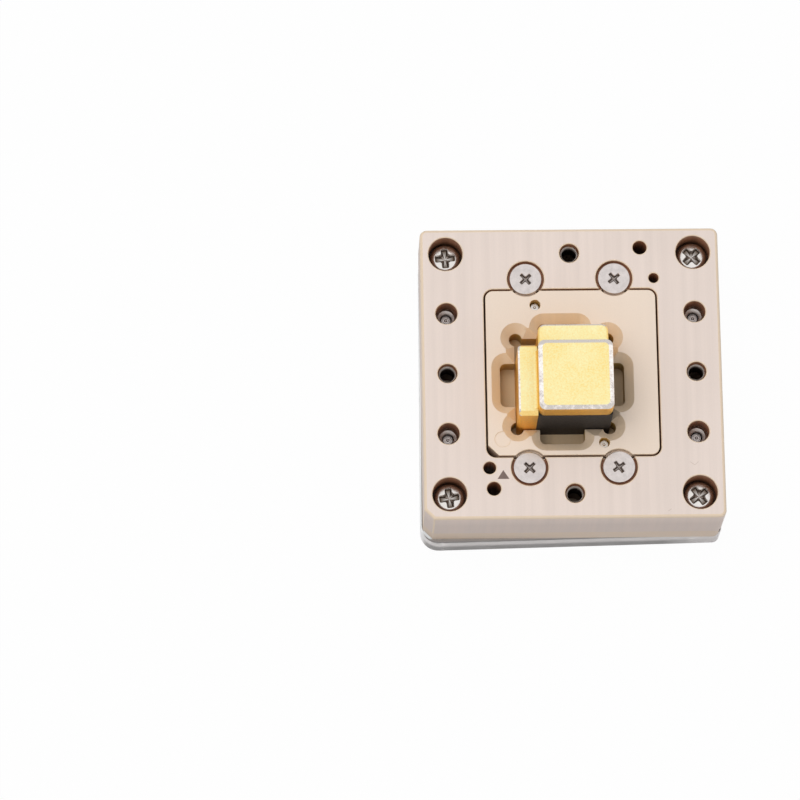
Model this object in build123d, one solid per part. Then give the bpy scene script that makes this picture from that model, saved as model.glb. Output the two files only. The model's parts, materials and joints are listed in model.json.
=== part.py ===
from build123d import *
import math
import os

# Test socket for a small gold-capped module, in millimetres.
# +X points right, +Y to the back and +Z up.
# The origin lies under the middle of the clear cover that the socket stands on.

# Flat sides that stand for a circle on small pieces and holes that repeat out of sight
thread_sides = 8
probe_sides = 6
coil_runs = 6

# Module under test: a black core under a gold cover with a cap and two arms
module_side = 13.1
module_left_arm = 2.7
module_back_arm = 3.05
module_core_height = 10.3
module_arm_rise = 0.5
module_cap_height = 3.5
module_cap_round = 0.9
core_round = 0.25
cap_bevel_height = 0.37
cap_bevel_side = 0.6
cap_bevel_front = 0.56
arm_bevel = 0.25
arm_front_bevel = 0.6
arm_cove = 0.6
left_arm_round = 0.4
back_arm_round = 1.0
back_arm_left_inset = 0.15
back_arm_right_inset = 0.4

# Floating nest plate that takes the module
pocket_gap = 0.1
pocket_depth = 4.3
pocket_shift_x = -1.35
pocket_shift_y = -1.35
lead_in = 1.25
relief_radius = 0.92
relief_inset = 0.18
slot_width = 6.3
slot_reach = 2.1
slot_shift = -0.15
slot_round = 0.8
ledge_width = 1.6
ledge_height = 0.9
nest_wall = 5.35
nest_round = 1.1
nest_index_cut = 1.5
dimple_radius = 1.1
dimple_depth = 0.12
dimple_inset_x = 2.05
dimple_inset_y = 2.36

# Socket body
nest_gap = 0.25
float_travel = 0.5
stop_clearance = 0.05
body_floor = 2.65
body_wall = 8.85
body_round = 1.0
body_index_cut = 1.4
body_edge = 0.25

# Plates below the body
retainer_height = 3.7
retainer_inset = 0.1
cover_height = 5.0
cover_overhang = 0.15
cover_round = 2.5
cover_skew = 1.2
cover_skin = 1.2

# Threads and corner screws
thread_radius = 0.975
thread_clearance = 0.025
screw_clearance = 0.225
fixing_inset = 3.6
corner_head_radius = 2.15
corner_head_height = 1.85
corner_head_recess = 2.0
corner_head_gap = 0.27
corner_head_bevel = 0.55
corner_cross_span = 2.85
corner_cross_arm = 0.95
corner_cross_depth = 0.7
corner_cross_turns = (4, 45, 8, 36)

# Low-headed screws that hold the nest down
nest_screw_pitch = 12.5
nest_screw_setback = 1.5
nest_head_radius = 2.25
nest_head_height = 1.0
nest_head_recess = 0.05
nest_head_gap = 0.35
nest_thread_length = 4.5
nest_cross_span = 2.0
nest_cross_arm = 0.55
nest_cross_depth = 0.6
nest_cross_turns = (42, 38, 45, 36)

# Screws that hold the retainer from below, and the wire thread inserts
retainer_screw_pitch = 17.5
retainer_head_radius = 1.75
retainer_head_height = 1.2
retainer_head_recess = 0.1
retainer_head_gap = 0.25
retainer_tip_depth = 3.7
retainer_tip_bevel = 0.35
retainer_mouth_radius = 1.53
retainer_insert_depth = 2.4
lid_mouth_radius = 1.37
lid_insert_depth = 0.5
lid_insert_bore = 1.05
insert_length = 4.0
insert_fit = 0.01

# Plain holes for the lid's locating pins, and the dowels that locate the socket on its board
lid_hole_radius = 0.98
lid_hole_back_x = 10.0
lid_hole_back_inset = 2.85
lid_hole_front_x = -11.3
lid_hole_front_step = 3.0
dowel_x = 11.85
dowel_back_radius = 0.7
dowel_front_radius = 0.87
dowel_seat = 2.0
dowel_reach = 1.5
dowel_fit = 0.01
dowel_cover_gap = 0.3

# Pins that guide the nest
guide_pin_radius = 0.7
guide_pin_slide = 0.05
guide_pin_depth = 1.3
guide_pin_skin = 0.4
guide_back_x = -5.0
guide_back_inset = 2.1
guide_front_x = 4.3
guide_front_inset = 1.8

# Springs under the nest
spring_radius = 1.1
spring_wire = 0.3
spring_turns = 3
spring_pocket_gap = 0.15
spring_body_depth = 1.3
spring_nest_depth = 1.2
spring_inset = 2.3

# Spring probes, in two rows under the module
probe_columns = 4
probe_rows = 2
probe_pitch = 2.0
probe_row_gap = 6.0
probe_skin = 0.6
barrel_radius = 0.45
barrel_wall = 0.15
barrel_gap = 0.03
barrel_end_gap = 0.05
plunger_gap = 0.03
plunger_guide_gap = 0.06
plunger_hold = 1.2
plunger_point = 0.3
plunger_flat = 0.1
tail_reach = 0.35
tail_room = 0.6
tail_room_margin = 2.0

# Plan sizes that follow
pocket_side = module_side + 2 * pocket_gap
nest_side = pocket_side + 2 * nest_wall
opening_side = nest_side + 2 * nest_gap
body_side = opening_side + 2 * body_wall
retainer_side = body_side - 2 * retainer_inset
cover_width = body_side + 2 * cover_overhang
fixing_offset = body_side / 2 - fixing_inset
nest_screw_row = opening_side / 2 + nest_screw_setback
spring_offset = nest_side / 2 - spring_inset
window_side = pocket_side - 2 * ledge_width
hole_radius = thread_radius + screw_clearance
tapped_radius = thread_radius + thread_clearance
spring_pocket = spring_radius + spring_pocket_gap
barrel_hole = barrel_radius + barrel_gap
barrel_bore = barrel_radius - barrel_wall
plunger_radius = barrel_bore - plunger_gap
plunger_hole = plunger_radius + plunger_guide_gap

# Heights that follow, from the underside of the cover upwards
nest_height = pocket_depth + ledge_height
cover_top = cover_height
retainer_top = cover_top + retainer_height
cavity_floor = retainer_top + body_floor
nest_low = cavity_floor + stop_clearance + float_travel
body_top = nest_low + nest_height
seat = body_top - pocket_depth
corner_seat = body_top - corner_head_recess - corner_head_height
nest_screw_seat = body_top - nest_head_recess - nest_head_height
retainer_screw_seat = cover_top + retainer_head_recess + retainer_head_height
barrel_low = cover_top + probe_skin + barrel_end_gap
barrel_high = cavity_floor - probe_skin - barrel_end_gap

# Places that repeat, listed as back left, back right, front left, front right
four_ways = [(-1, 1), (1, 1), (-1, -1), (1, -1)]
corner_places = [(i * fixing_offset, j * fixing_offset) for i, j in four_ways]
nest_screw_places = [(i * nest_screw_pitch / 2, j * nest_screw_row) for i, j in four_ways]
retainer_screw_places = [(i * fixing_offset, j * retainer_screw_pitch / 2) for i, j in four_ways]
lid_thread_places = [(fixing_offset, 0), (0, fixing_offset), (-fixing_offset, 0), (0, -fixing_offset)]
spring_places = [(i * spring_offset, j * spring_offset) for i, j in four_ways]
lid_hole_places = [
    (lid_hole_back_x, body_side / 2 - lid_hole_back_inset),
    (lid_hole_front_x, -nest_screw_row - lid_hole_front_step),
]
dowels = {
    "back": (dowel_x, nest_screw_row, dowel_back_radius),
    "front": (-dowel_x, -nest_screw_row, dowel_front_radius),
}
guide_pins = {
    "back": (guide_back_x, nest_side / 2 - guide_back_inset),
    "front": (guide_front_x, -nest_side / 2 + guide_front_inset),
}
probe_places = [
    (
        pocket_shift_x + (column - (probe_columns - 1) / 2) * probe_pitch,
        pocket_shift_y + (row - (probe_rows - 1) / 2) * probe_row_gap,
    )
    for row in range(probe_rows)
    for column in range(probe_columns)
]

# Edges of the module in plan
module_left = pocket_shift_x - module_side / 2
module_right = pocket_shift_x + module_side / 2
module_front = pocket_shift_y - module_side / 2
module_back = pocket_shift_y + module_side / 2
core_left = module_left + module_left_arm
core_back = module_back - module_back_arm
core_width = module_right - core_left
core_depth = core_back - module_front
core_x = (core_left + module_right) / 2
core_y = (core_back + module_front) / 2
core_top = seat + module_core_height
arm_top = core_top + module_arm_rise
cap_top = core_top + module_cap_height


def post(x, y, radius, low, high):
    """Upright cylinder between two heights."""
    return Pos(x, y, low) * Cylinder(radius, high - low, align=(Align.CENTER, Align.CENTER, Align.MIN))


def posts(places, radius, low, high):
    """The same upright cylinder at several places."""
    return [post(x, y, radius, low, high) for x, y in places]


def sided_post(x, y, radius, sides, low, high):
    """Upright many-sided post whose corners lie on a circle."""
    return Pos(x, y, low) * extrude(RegularPolygon(radius, sides), high - low)


def sided_holes(places, radius, sides, low, high):
    """The same many-sided hole at several places, with its flats on a circle."""
    outline = RegularPolygon(radius, sides, major_radius=False)
    return [Pos(x, y, low) * extrude(outline, high - low) for x, y in places]


def sided_taper(radius, end_radius, sides, low, high):
    """Upright many-sided post that narrows towards its top."""
    inward = (radius - end_radius) * math.cos(math.pi / sides)
    slope = math.degrees(math.atan2(inward, high - low))
    return Pos(0, 0, low) * extrude(RegularPolygon(radius, sides), high - low, taper=slope)


def block(left, right, front, back, low, high):
    """Box between two corners."""
    size = Box(right - left, back - front, high - low)
    return Pos((left + right) / 2, (front + back) / 2, (low + high) / 2) * size


def turned(points):
    """Solid of revolution about Z from a closed outline of (radius, height) points."""
    return revolve(make_face(Plane.XZ * Polyline(*points, close=True)), Axis.Z)


def plate(outline, low, high):
    """Flat plate of an outline between two heights."""
    return Pos(0, 0, low) * extrude(outline, high - low)


def indexed_square(side, rounding, index_cut):
    """Square outline with three round corners and the front left one cut off for pin 1."""
    outline = Rectangle(side, side)
    corners = outline.vertices().sort_by(lambda corner: corner.X + corner.Y)
    outline = fillet(corners[1:], rounding)
    index_corner = outline.vertices().sort_by(lambda corner: corner.X + corner.Y)[:1]
    return chamfer(index_corner, index_cut)


def top_edges(solid):
    """Edges of the highest face."""
    return solid.faces().sort_by(Axis.Z)[-1].outer_wire().edges()


def cross_recess(span, arm, depth, turn):
    """Cross-shaped driver recess that opens upwards at height zero."""
    cross = Rectangle(span, arm) + Rectangle(arm, span)
    return Rot(0, 0, turn) * extrude(cross, -depth)


def funnel_run(width, length):
    """Straight funnel along Y, from the module's seat up to the top of the nest."""
    foot, rim = width / 2, width / 2 + lead_in
    lead_in_foot = body_top - lead_in
    side = [(foot, seat), (foot, lead_in_foot), (rim, body_top)]
    other_side = [(-x, z) for x, z in reversed(side)]
    profile = make_face(Plane.XZ * Polyline(*side, *other_side, close=True))
    return extrude(profile, length / 2, both=True)


def funnel_corner(x, y, radius):
    """Round funnel from the module's seat up to the top of the nest."""
    flare = Cone(radius, radius + lead_in, lead_in)
    return post(x, y, radius, seat, body_top - lead_in) + Pos(x, y, body_top - lead_in / 2) * flare


def funnel_opening(width, depth, corner_inset, corner_radius, shift_x=0, shift_y=0):
    """Cuts for a rectangular opening with round corners and a lead-in on every side."""
    corner_x, corner_y = width / 2 - corner_inset, depth / 2 - corner_inset
    cuts = [
        funnel_run(width, 2 * corner_y),
        Rot(0, 0, 90) * funnel_run(depth, 2 * corner_x),
    ]
    cuts += [funnel_corner(i * corner_x, j * corner_y, corner_radius) for i, j in four_ways]
    centre = Pos(pocket_shift_x + shift_x, pocket_shift_y + shift_y)
    return [centre * cut for cut in cuts]


def socket_body():
    """Moulded block with the nest's cavity and every hole of the upper side."""
    solid = plate(indexed_square(body_side, body_round, body_index_cut), retainer_top, body_top)
    solid = chamfer(top_edges(solid), body_edge)
    opening = RectangleRounded(opening_side, opening_side, nest_round + nest_gap)
    solid -= plate(opening, cavity_floor, body_top)
    solid -= posts(corner_places, corner_head_radius + corner_head_gap, corner_seat, body_top)
    solid -= sided_holes(corner_places, hole_radius, thread_sides, retainer_top, corner_seat)
    solid -= posts(lid_thread_places, lid_mouth_radius, retainer_top, body_top)
    solid -= posts(retainer_screw_places, retainer_mouth_radius, retainer_top, body_top)
    solid -= posts(lid_hole_places, lid_hole_radius, retainer_top, body_top)
    solid -= [post(x, y, radius + dowel_fit, retainer_top, body_top) for x, y, radius in dowels.values()]
    solid -= posts(nest_screw_places, nest_head_radius + nest_head_gap, nest_screw_seat, body_top)
    thread_end = nest_screw_seat - nest_thread_length
    solid -= sided_holes(nest_screw_places, tapped_radius, thread_sides, thread_end, nest_screw_seat)
    spring_floor = cavity_floor - spring_body_depth
    solid -= sided_holes(spring_places, spring_pocket, thread_sides, spring_floor, cavity_floor)
    pin_floor = retainer_top + guide_pin_skin
    pin_radius = guide_pin_radius + dowel_fit
    solid -= sided_holes(guide_pins.values(), pin_radius, thread_sides, pin_floor, cavity_floor)
    skin_floor = cavity_floor - probe_skin
    solid -= sided_holes(probe_places, plunger_hole, probe_sides, skin_floor, cavity_floor)
    solid -= sided_holes(probe_places, barrel_hole, probe_sides, retainer_top, skin_floor)
    return solid


def nest_plate():
    """Floating plate with the module's pocket, corner reliefs, finger slots and probe window."""
    solid = plate(indexed_square(nest_side, nest_round, nest_index_cut), nest_low, body_top)
    slot_length = pocket_side + 2 * slot_reach
    solid -= funnel_opening(pocket_side, pocket_side, relief_inset, relief_radius)
    solid -= funnel_opening(slot_length, slot_width, slot_round, slot_round, shift_y=slot_shift)
    solid -= funnel_opening(slot_width, slot_length, slot_round, slot_round, shift_x=slot_shift)
    centre = Pos(pocket_shift_x, pocket_shift_y)
    solid -= centre * plate(Rectangle(window_side, window_side), nest_low, seat)
    solid -= posts(nest_screw_places, nest_head_radius + nest_head_gap, nest_screw_seat, body_top)
    solid -= posts(guide_pins.values(), guide_pin_radius + guide_pin_slide, nest_low, body_top)
    spring_roof = nest_low + spring_nest_depth
    solid -= sided_holes(spring_places, spring_pocket, thread_sides, nest_low, spring_roof)
    dimple_x = -nest_side / 2 + dimple_inset_x
    dimple_y = -nest_side / 2 + dimple_inset_y
    solid -= post(dimple_x, dimple_y, dimple_radius, body_top - dimple_depth, body_top)
    return solid


def probe_retainer():
    """Lower plate that closes the probe holes and is screwed on from below."""
    solid = plate(indexed_square(retainer_side, body_round, body_index_cut), cover_top, retainer_top)
    screw_places = corner_places + retainer_screw_places
    solid -= sided_holes(screw_places, hole_radius, thread_sides, cover_top, retainer_top)
    head_radius = retainer_head_radius + retainer_head_gap
    solid -= sided_holes(retainer_screw_places, head_radius, thread_sides, cover_top, retainer_screw_seat)
    for x, y, radius in dowels.values():
        solid -= sided_holes([(x, y)], radius + dowel_fit, thread_sides, cover_top, retainer_top)
    skin_top = cover_top + probe_skin
    solid -= sided_holes(probe_places, plunger_hole, probe_sides, cover_top, skin_top)
    solid -= sided_holes(probe_places, barrel_hole, probe_sides, skin_top, retainer_top)
    return solid


def skewed_outline(width, depth, skew, rounding):
    """Rounded outline whose front and back edges climb to the right."""
    across, along = width / 2, depth / 2
    climb = across * math.tan(math.radians(skew))
    front = [(-across, -along - climb), (across, climb - along)]
    back = [(across, along + climb), (-across, along - climb)]
    outline = make_face(Polyline(*front, *back, close=True))
    return fillet(outline.vertices(), rounding)


def protective_cover():
    """Clear plate that guards the probe tails, with its front and back edges sawn askew."""
    solid = plate(skewed_outline(cover_width, body_side, cover_skew, cover_round), 0, cover_top)
    solid -= sided_holes(corner_places, tapped_radius, thread_sides, 0, cover_top)
    room_width = (probe_columns - 1) * probe_pitch + 2 * tail_room_margin
    room_depth = (probe_rows - 1) * probe_row_gap + 2 * tail_room_margin
    room = RectangleRounded(room_width, room_depth, slot_round)
    solid -= Pos(pocket_shift_x, pocket_shift_y) * plate(room, cover_top - tail_room, cover_top)
    for x, y, radius in dowels.values():
        solid -= sided_holes([(x, y)], radius + dowel_cover_gap, thread_sides, cover_skin, cover_top)
    return solid


def screw(head_outline, thread_length, recess):
    """Screw that hangs from its seat at zero: a turned head, a plain shank and a driver recess."""
    head_height = head_outline[-1][1]
    head = turned([(0, 0)] + head_outline + [(0, head_height)])
    shank = sided_post(0, 0, thread_radius, thread_sides, -thread_length, 0)
    return head + shank - Pos(0, 0, head_height) * recess


def corner_screw(turn):
    """Pan-headed screw through the body and the retainer into the cover."""
    recess = cross_recess(corner_cross_span, corner_cross_arm, corner_cross_depth, turn)
    outline = [
        (corner_head_radius, 0),
        (corner_head_radius, corner_head_height - corner_head_bevel),
        (corner_head_radius - corner_head_bevel, corner_head_height),
    ]
    return screw(outline, corner_seat - cover_skin, recess)


def nest_screw(turn):
    """Low-headed screw whose rim laps over the nest plate."""
    recess = cross_recess(nest_cross_span, nest_cross_arm, nest_cross_depth, turn)
    outline = [(nest_head_radius, 0), (nest_head_radius, nest_head_height)]
    return screw(outline, nest_thread_length, recess)


def retainer_screw():
    """Cylinder-headed screw that points up, with its seat at zero."""
    tip = body_top - retainer_tip_depth - retainer_screw_seat
    tip_radius = thread_radius - retainer_tip_bevel
    solid = sided_post(0, 0, retainer_head_radius, thread_sides, -retainer_head_height, 0)
    solid += sided_post(0, 0, thread_radius, thread_sides, 0, tip - retainer_tip_bevel)
    return solid + sided_taper(thread_radius, tip_radius, thread_sides, tip - retainer_tip_bevel, tip)


def lid_thread_insert():
    """Wire thread insert for a lid screw, as a sleeve that hangs down from zero."""
    sleeve = sided_post(0, 0, lid_mouth_radius - insert_fit, thread_sides, -insert_length, 0)
    return sleeve - post(0, 0, lid_insert_bore, -insert_length, 0)


def retainer_thread_insert():
    """Wire thread insert round the end of a retainer screw, as a sleeve that hangs down from zero."""
    sleeve = sided_post(0, 0, retainer_mouth_radius - insert_fit, thread_sides, -insert_length, 0)
    return sleeve - sided_holes([(0, 0)], tapped_radius, thread_sides, -insert_length, 0)


def nest_spring():
    """Coil of square wire in short runs, from the body's pocket at zero up to the nest's pocket."""
    height = spring_body_depth + stop_clearance + float_travel + spring_nest_depth
    coil_radius = spring_radius - spring_wire / 2
    steps = round(spring_turns * coil_runs)
    points = []
    for step in range(steps + 1):
        angle = 2 * math.pi * step / coil_runs
        climb = spring_wire / 2 + (height - spring_wire) * step / steps
        points.append((coil_radius * math.cos(angle), coil_radius * math.sin(angle), climb))
    path = Polyline(*points)
    section = Plane(path @ 0, x_dir=(1, 0, 0), z_dir=path % 0) * Rectangle(spring_wire, spring_wire)
    coil = sweep(section, path=path, transition=Transition.RIGHT)
    return coil & post(0, 0, spring_pocket, 0, height)


def plunger(low, high):
    """Probe plunger with a blunt cone at its high end."""
    shaft = sided_post(0, 0, plunger_radius, probe_sides, low, high - plunger_point)
    return shaft + sided_taper(plunger_radius, plunger_flat, probe_sides, high - plunger_point, high)


def probe_barrel():
    """Tube of one spring probe, between the body's and the retainer's guide skins."""
    tube = sided_post(0, 0, barrel_radius, probe_sides, barrel_low, barrel_high)
    return tube - sided_holes([(0, 0)], barrel_bore, probe_sides, barrel_low, barrel_high)


def probe_tip():
    """Upper plunger, which stands under the module."""
    return plunger(barrel_high - plunger_hold, seat)


def probe_tail():
    """Lower plunger, which stands out under the retainer."""
    return Rot(180, 0, 0) * plunger(-barrel_low - plunger_hold, tail_reach - cover_top)


def module_core():
    """Black core that fills the module under its cap."""
    solid = block(core_left, module_right, module_front, core_back, seat, core_top)
    uprights = solid.edges().filter_by(Axis.Z)
    front_right = uprights.sort_by(lambda edge: edge.center().X - edge.center().Y)[-1]
    return fillet(front_right, core_round)


def cap():
    """Gold cap over the core, bevelled round its top."""
    outline = RectangleRounded(core_width, core_depth, module_cap_round)
    bevel_inner = RectangleRounded(
        core_width - 2 * cap_bevel_side,
        core_depth - 2 * cap_bevel_front,
        module_cap_round - cap_bevel_front / 2,
    )
    centre = Pos(core_x, core_y)
    bevel_low = cap_top - cap_bevel_height
    bevel = loft([Pos(0, 0, bevel_low) * outline, Pos(0, 0, cap_top) * bevel_inner], ruled=True)
    return centre * (plate(outline, core_top, bevel_low) + bevel)


def left_arm():
    """Gold arm down the module's left side."""
    solid = block(module_left, core_left, module_front, core_back, seat, arm_top)
    outer = solid.edges().filter_by(Axis.Z).group_by(Axis.X)[0]
    solid = fillet(outer, left_arm_round)
    solid = chamfer(solid.faces().sort_by(Axis.X)[0].edges().sort_by(Axis.Z)[-1], arm_bevel)
    slope = make_face(Plane.YZ * Polyline((0, 0), (0, -arm_front_bevel), (arm_front_bevel, 0), close=True))
    return solid - Pos(module_left, module_front, arm_top) * extrude(slope, module_left_arm)


def back_arm():
    """Gold arm down the module's back."""
    right = module_right - back_arm_right_inset
    solid = block(core_left + back_arm_left_inset, right, core_back, module_back, seat, arm_top)
    outer = solid.edges().filter_by(Axis.Z).group_by(Axis.Y)[-1]
    solid = fillet(outer, back_arm_round)
    return chamfer(solid.faces().sort_by(Axis.Y)[-1].edges().sort_by(Axis.Z)[-1], arm_bevel)


def cove(length):
    """Concave strip along +Y that rises from its left foot to the wall on its right."""
    square = Pos(-arm_cove / 2, arm_cove / 2) * Rectangle(arm_cove, arm_cove)
    profile = square - Pos(-arm_cove, arm_cove) * Circle(arm_cove)
    return extrude(Plane.XZ * profile, -length)


def module_cover():
    """Gold cover: a cap with one arm on the left and one at the back."""
    straight = core_depth - 2 * module_cap_round
    left_cove = Pos(core_left, module_front + module_cap_round, arm_top) * cove(straight)
    return cap() + left_arm() + back_arm() + left_cove


def placed(solids):
    """Several separate solids as one named group."""
    return Compound(children=list(solids))


def build():
    """Every piece of the socket by its name."""
    pieces = {
        "socket_body": socket_body(),
        "nest_plate": nest_plate(),
        "probe_retainer": probe_retainer(),
        "protective_cover": protective_cover(),
        "module_core": module_core(),
        "module_cover": module_cover(),
    }
    pieces["corner_screws"] = placed(
        Pos(x, y, corner_seat) * corner_screw(turn)
        for (x, y), turn in zip(corner_places, corner_cross_turns)
    )
    pieces["nest_screws"] = placed(
        Pos(x, y, nest_screw_seat) * nest_screw(turn)
        for (x, y), turn in zip(nest_screw_places, nest_cross_turns)
    )
    pieces["retainer_screws"] = placed(
        Pos(x, y, retainer_screw_seat) * retainer_screw() for x, y in retainer_screw_places
    )
    pieces["lid_thread_inserts"] = placed(
        Pos(x, y, body_top - lid_insert_depth) * lid_thread_insert() for x, y in lid_thread_places
    )
    pieces["retainer_thread_inserts"] = placed(
        Pos(x, y, body_top - retainer_insert_depth) * retainer_thread_insert()
        for x, y in retainer_screw_places
    )
    for name, (x, y) in guide_pins.items():
        low = retainer_top + guide_pin_skin
        pin = sided_post(x, y, guide_pin_radius, thread_sides, low, body_top - guide_pin_depth)
        pieces[f"guide_pin_{name}"] = pin
    for name, (x, y, radius) in dowels.items():
        low = cover_top - dowel_reach
        dowel = sided_post(x, y, radius, thread_sides, low, retainer_top + dowel_seat)
        pieces[f"alignment_dowel_{name}"] = dowel
    for number, (x, y) in enumerate(spring_places, 1):
        pieces[f"nest_spring_{number}"] = Pos(x, y, cavity_floor - spring_body_depth) * nest_spring()
    for number, (x, y) in enumerate(probe_places, 1):
        pieces[f"probe_barrel_{number}"] = Pos(x, y) * probe_barrel()
        pieces[f"probe_tip_{number}"] = Pos(x, y) * probe_tip()
        pieces[f"probe_tail_{number}"] = Pos(x, y) * probe_tail()
    return pieces


os.makedirs("parts", exist_ok=True)
for node, shape in build().items():
    export_step(shape, f"parts/{node}.step")
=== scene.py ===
"""Looks of a chip test socket: machined plastic plates, plated screws and a gold-capped module."""

import json
import math

import bmesh
import bpy
from bpy.props import FloatProperty, FloatVectorProperty, IntProperty, PointerProperty
from mathutils import Matrix, Vector


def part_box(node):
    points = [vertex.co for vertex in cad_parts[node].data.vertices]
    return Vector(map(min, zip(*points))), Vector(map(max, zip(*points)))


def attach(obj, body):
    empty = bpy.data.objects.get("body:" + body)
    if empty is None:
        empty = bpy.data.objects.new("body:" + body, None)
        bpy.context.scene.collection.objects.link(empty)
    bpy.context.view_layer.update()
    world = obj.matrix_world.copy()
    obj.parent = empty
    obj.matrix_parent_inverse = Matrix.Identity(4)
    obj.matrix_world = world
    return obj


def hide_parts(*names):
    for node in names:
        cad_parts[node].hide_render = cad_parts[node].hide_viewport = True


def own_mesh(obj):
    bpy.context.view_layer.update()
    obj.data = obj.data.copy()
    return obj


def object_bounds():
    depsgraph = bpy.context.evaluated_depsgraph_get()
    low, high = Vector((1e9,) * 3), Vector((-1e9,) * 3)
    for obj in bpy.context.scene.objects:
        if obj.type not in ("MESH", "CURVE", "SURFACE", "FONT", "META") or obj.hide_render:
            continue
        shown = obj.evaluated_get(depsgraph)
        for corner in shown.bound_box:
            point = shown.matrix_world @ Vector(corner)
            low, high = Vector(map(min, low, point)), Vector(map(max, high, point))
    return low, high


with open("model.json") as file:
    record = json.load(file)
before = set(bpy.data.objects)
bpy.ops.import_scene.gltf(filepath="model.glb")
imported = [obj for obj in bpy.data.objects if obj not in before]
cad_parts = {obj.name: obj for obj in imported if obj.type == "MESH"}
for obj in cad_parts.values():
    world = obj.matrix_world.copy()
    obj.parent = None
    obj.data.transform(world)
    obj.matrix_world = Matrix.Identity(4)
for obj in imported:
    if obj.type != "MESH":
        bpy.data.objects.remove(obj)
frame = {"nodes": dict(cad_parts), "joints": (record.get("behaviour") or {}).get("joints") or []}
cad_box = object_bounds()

bl_info = {
    "name": "Chip test socket",
    "version": (1, 0, 0),
    "blender": (4, 5, 0),
    "location": "View3D > Sidebar > Socket",
    "description": "Dresses the frame of a chip test socket with finished pieces and a stage",
    "category": "Object",
}

MM = 0.001
FLAT_ANGLE = math.radians(0.5)
SHARP_ANGLE = math.radians(25)
SMOOTH_ANGLE = math.radians(32)
STEEP_ANGLE = math.radians(60)
MERGE_DISTANCE = 0.0005 * MM
SPECK_SIZE = 0.09 * MM

# Upward parts of a normal between which a face slopes
SLOPE_LOW, SLOPE_HIGH = 0.2, 0.95
# How far a cutter reaches past its plate
CUTTER_PAST = 0.5 * MM
# Marks of a block's outer slopes and walls, and how far its cut floors lie below its top
# The wall mark lays a little of the cut tone with its painted shade on the outer walls
SLOPE_EDGE_TONE, WALL_TONE, FLOOR_DEPTH = 0.8, 0.2, 0.2 * MM
UPSIDE_DOWN = Matrix.Rotation(math.pi, 4, "X")

# Turns of the driver recesses in degrees, from the back left to the front right
CORNER_TURNS = (4, 45, 8, 36)
NEST_TURNS = (42, 38, 45, 36)
RETAINER_TURNS = (12, 70, 33, 55)

# Scratches on the body's top, each between two (x, y) points in millimetres
SCRATCHES = (
    ((16.18, -13.13), (16.83, -13.6)),
    ((16.83, -13.6), (17.35, -13.14)),
    ((12.93, -20.21), (13.39, -19.9)),
)
SIGN_PLACE = (-9.97 * MM, -14.74 * MM)

# Stage, in metres
KEY_PLACE = (-0.26, 0.07, 0.81)
FILL_PLACE = (0.4, -0.35, 0.5)
SOFT_BOX_SIZE = 0.6
FLOOR_REACH = 3.0
FLOOR_DROP = 0.02 * MM
CLIP_NEAR, CLIP_FAR = 0.01, 20.0


def display(levels):
    """Linear colour of a display's 0 to 255 levels."""
    shares = (level / 255 for level in levels)
    return tuple(s / 12.92 if s <= 0.04045 else ((s + 0.055) / 1.055) ** 2.4 for s in shares)


def colour_property(name, description, *levels):
    """Colour that a user can change, given by its display levels."""
    return FloatVectorProperty(
        name=name, description=description, subtype="COLOR", size=3, min=0, max=1,
        default=display(levels),
    )


def length_property(name, description, millimetres):
    """Length that a user can change, given in millimetres and kept in metres."""
    return FloatProperty(
        name=name, description=description, unit="LENGTH", precision=5, default=millimetres * MM
    )


def angle_property(name, description, degrees):
    """Angle that a user can change, given in degrees."""
    return FloatProperty(
        name=name, description=description, subtype="ANGLE", default=math.radians(degrees)
    )


def factor_property(name, description, default):
    """Share from 0 to 1 that a user can change."""
    return FloatProperty(
        name=name, description=description, subtype="FACTOR", default=default, min=0, max=1
    )


class SOCKET_PG_finishes(bpy.types.PropertyGroup):
    """Colours of the socket's materials."""

    body: colour_property("Body", "Pinkish beige plastic of the body", 229, 214, 205)
    retainer: colour_property("Retainer", "Plastic of the lower plate", 208, 186, 165)
    nest: colour_property("Nest", "Yellower plastic of the floating nest", 235, 218, 202)
    # Edge tone: warmer colour laid on the plastic's bevels and outer slopes
    edge_tone: colour_property("Worn edge", "Warm tone of the plastic's edges", 226, 203, 172)
    # Bore: browner tone of the cut plastic together with painted shade in the body's cut walls and
    # floors
    bore: colour_property("Bore", "Deeper tone of the body's cut walls", 172, 120, 88)
    # Pocket: golden tone on the nest's cuts, painted reflection of the gold cover with painted
    # shade
    pocket_reflection_and_shade: colour_property("Pocket", "Deeper tone of the nest's cuts", 213, 171, 86)
    deep: colour_property("Deep", "Shaded tone at the foot of deep bores", 52, 37, 31)
    speck: colour_property("Speck", "Dust specks on the plastic", 150, 125, 108)
    gold: colour_property("Gold", "Deep grains of the module's gold cover", 252, 219, 124)
    gold_pale: colour_property("Pale gold", "Pale grains of the module's gold cover", 255, 255, 211)
    # Gold side: painted shade, darker gold where upright faces reflect darker surroundings
    gold_side_shade: colour_property("Gold side", "Gold of the upright faces", 243, 190, 88)
    bare_metal: colour_property("Bare metal", "Bare bevels of the module's cover", 246, 238, 232)
    core: colour_property("Core", "Matte black of the module's core", 25, 20, 18)
    nickel: colour_property("Nickel", "Bright plating of the corner screws", 232, 228, 224)
    satin: colour_property("Satin", "Satin plating of the flat-headed screws", 216, 208, 205)
    # Recess: duller plating and painted shade, laid on the floor of a driver recess
    recess: colour_property("Recess", "Dull plating inside a driver recess", 92, 76, 62)
    wire: colour_property("Wire", "Drawn steel of inserts, springs and pins", 222, 218, 214)
    probe: colour_property("Probe", "Gold plating of the spring probes", 232, 196, 120)
    clear: colour_property("Clear", "Tint of the clear cover", 240, 243, 243)
    # Clear edge: painted shade along the foot and the brim of the sawn edges
    clear_edge_shade: colour_property("Clear edge", "Dark foot of the cover's sawn edges", 100, 92, 89)
    clear_band: colour_property("Clear band", "Light band of the cover's sawn edges", 238, 230, 228)
    clear_ledge: colour_property("Clear ledge", "Shaded rim of the cover's upper face", 76, 67, 62)
    sign: colour_property("Sign", "Ink of the triangle beside pin 1", 118, 100, 94)
    floor: colour_property("Floor", "Pale floor under the socket", 216, 216, 216)


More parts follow.
